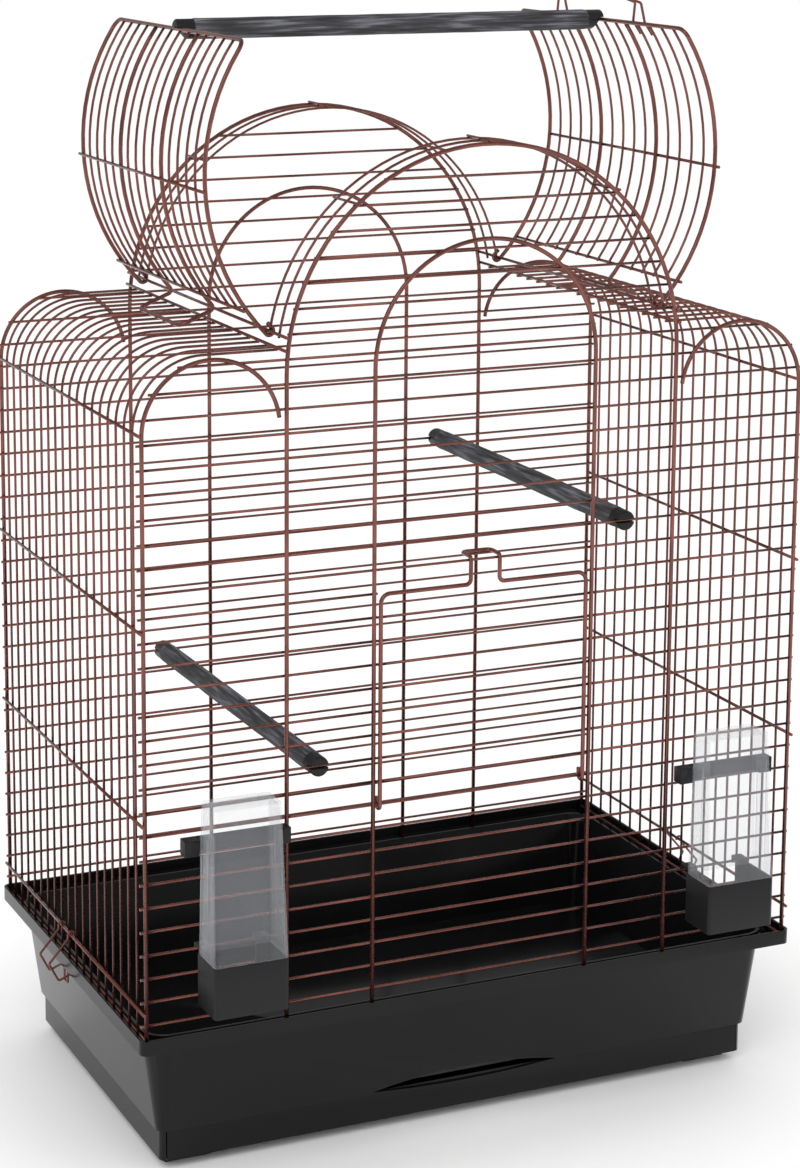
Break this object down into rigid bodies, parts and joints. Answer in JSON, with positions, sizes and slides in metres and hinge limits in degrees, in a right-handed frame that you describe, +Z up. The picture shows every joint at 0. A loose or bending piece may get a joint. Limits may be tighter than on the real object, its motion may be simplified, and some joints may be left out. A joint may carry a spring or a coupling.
{
  "type": "birdcage",
  "caption": "Budgie cage in dark copper wire with an open two-flap domed roof, a top perch, two seed feeders and a black tray with a pull-out drawer",
  "frame": {"origin": "on the floor, below the middle of the tray", "axes": "+X to the right seen from the front, -Y the front with the door and feeders, +Z up"},
  "size_m": [0.5722, 0.3703, 0.8428],
  "materials": {
    "copper_wire": "gloss",
    "gloss_black_plastic": "gloss",
    "matte_black_plastic": "matte",
    "clear_plastic": "gloss",
    "perch_plastic": "matte"
  },
  "bodies": {
    "cage": {"back_arch_inner": "copper_wire", "back_arch_outer": "copper_wire", "back_bars_lower": "copper_wire", "back_bars_upper": "copper_wire", "back_post_left": "copper_wire", "back_post_right": "copper_wire", "base_tub": "gloss_black_plastic", "bottom_rod_left": "copper_wire", "bottom_rod_right": "copper_wire", "feeder_bracket_left": "matte_black_plastic", "feeder_bracket_right": "matte_black_plastic", "feeder_cup_left": "matte_black_plastic", "feeder_cup_right": "matte_black_plastic", "front_arch_inner": "copper_wire", "front_arch_outer": "copper_wire", "front_bars_door": "copper_wire", "front_bars_lower": "copper_wire", "front_bars_upper": "copper_wire", "front_post_left": "copper_wire", "front_post_right": "copper_wire", "hinge_bars": "copper_wire", "roof_rails": "copper_wire", "roof_strip_back": "copper_wire", "roof_strip_front": "copper_wire", "side_rails_left": "copper_wire", "side_rails_right": "copper_wire", "side_wires_left": "copper_wire", "side_wires_right": "copper_wire"},
    "drawer": {"drawer": "gloss_black_plastic"},
    "door": {"door_frame": "copper_wire", "door_bars": "copper_wire"},
    "flap_left": {"flap_left_frame": "copper_wire", "flap_left_wires": "copper_wire", "flap_left_bars": "copper_wire", "flap_left_prop": "copper_wire"},
    "flap_right": {"flap_right_frame": "copper_wire", "flap_right_wires": "copper_wire", "flap_right_bars": "copper_wire", "flap_right_prop": "copper_wire", "flap_right_latches": "copper_wire"},
    "top_perch": {"top_perch": "perch_plastic"},
    "perch_left": {"perch_left": "perch_plastic"},
    "perch_right": {"perch_right": "perch_plastic"},
    "hopper_left": {"feeder_hopper_left": "clear_plastic"},
    "hopper_right": {"feeder_hopper_right": "clear_plastic"},
    "clip_left": {"clip_left": "copper_wire"},
    "clip_right": {"clip_right": "copper_wire"}
  },
  "joints": [
    {"name": "drawer_slide", "type": "slide", "parent": "cage", "child": "drawer", "axis": [0, -1, 0], "range_m": [0, 0.26]},
    {"name": "door_hinge", "type": "hinge", "parent": "cage", "child": "door", "pos_m": [0, -0.16165, 0.2658], "axis": [1, 0, 0], "range_deg": [0, 150]},
    {"name": "flap_left_hinge", "type": "hinge", "parent": "cage", "child": "flap_left", "pos_m": [-0.15681, 0, 0.616], "axis": [0, 1, 0], "range_deg": [0, 54]},
    {"name": "flap_right_hinge", "type": "hinge", "parent": "cage", "child": "flap_right", "pos_m": [0.15681, 0, 0.616], "axis": [0, -1, 0], "range_deg": [0, 54]},
    {"name": "top_perch_lift", "type": "slide", "parent": "cage", "child": "top_perch", "axis": [0, 0, 1], "range_m": [0, 0.285]},
    {"name": "perch_left_slide", "type": "slide", "parent": "cage", "child": "perch_left", "axis": [1, 0, 0], "range_m": [-0.015, 0.031]},
    {"name": "perch_right_slide", "type": "slide", "parent": "cage", "child": "perch_right", "axis": [1, 0, 0], "range_m": [-0.018, 0.029]},
    {"name": "hopper_left_lift", "type": "slide", "parent": "cage", "child": "hopper_left", "axis": [0, 0, 1], "range_m": [0, 0.12]},
    {"name": "hopper_right_lift", "type": "slide", "parent": "cage", "child": "hopper_right", "axis": [0, 0, 1], "range_m": [0, 0.12]},
    {"name": "clip_left_hinge", "type": "hinge", "parent": "cage", "child": "clip_left", "pos_m": [-0.26702, 0.01, 0.135], "axis": [0, 1, 0], "range_deg": [0, 90]},
    {"name": "clip_right_hinge", "type": "hinge", "parent": "cage", "child": "clip_right", "pos_m": [0.26702, 0.01, 0.135], "axis": [0, -1, 0], "range_deg": [0, 90]}
  ],
  "couplings": [
    {"joint": "flap_right_hinge", "follows": "flap_left_hinge", "ratio": 1},
    {"joint": "top_perch_lift", "follows": "flap_left_hinge", "m_per_rad": 0.3}
  ]
}
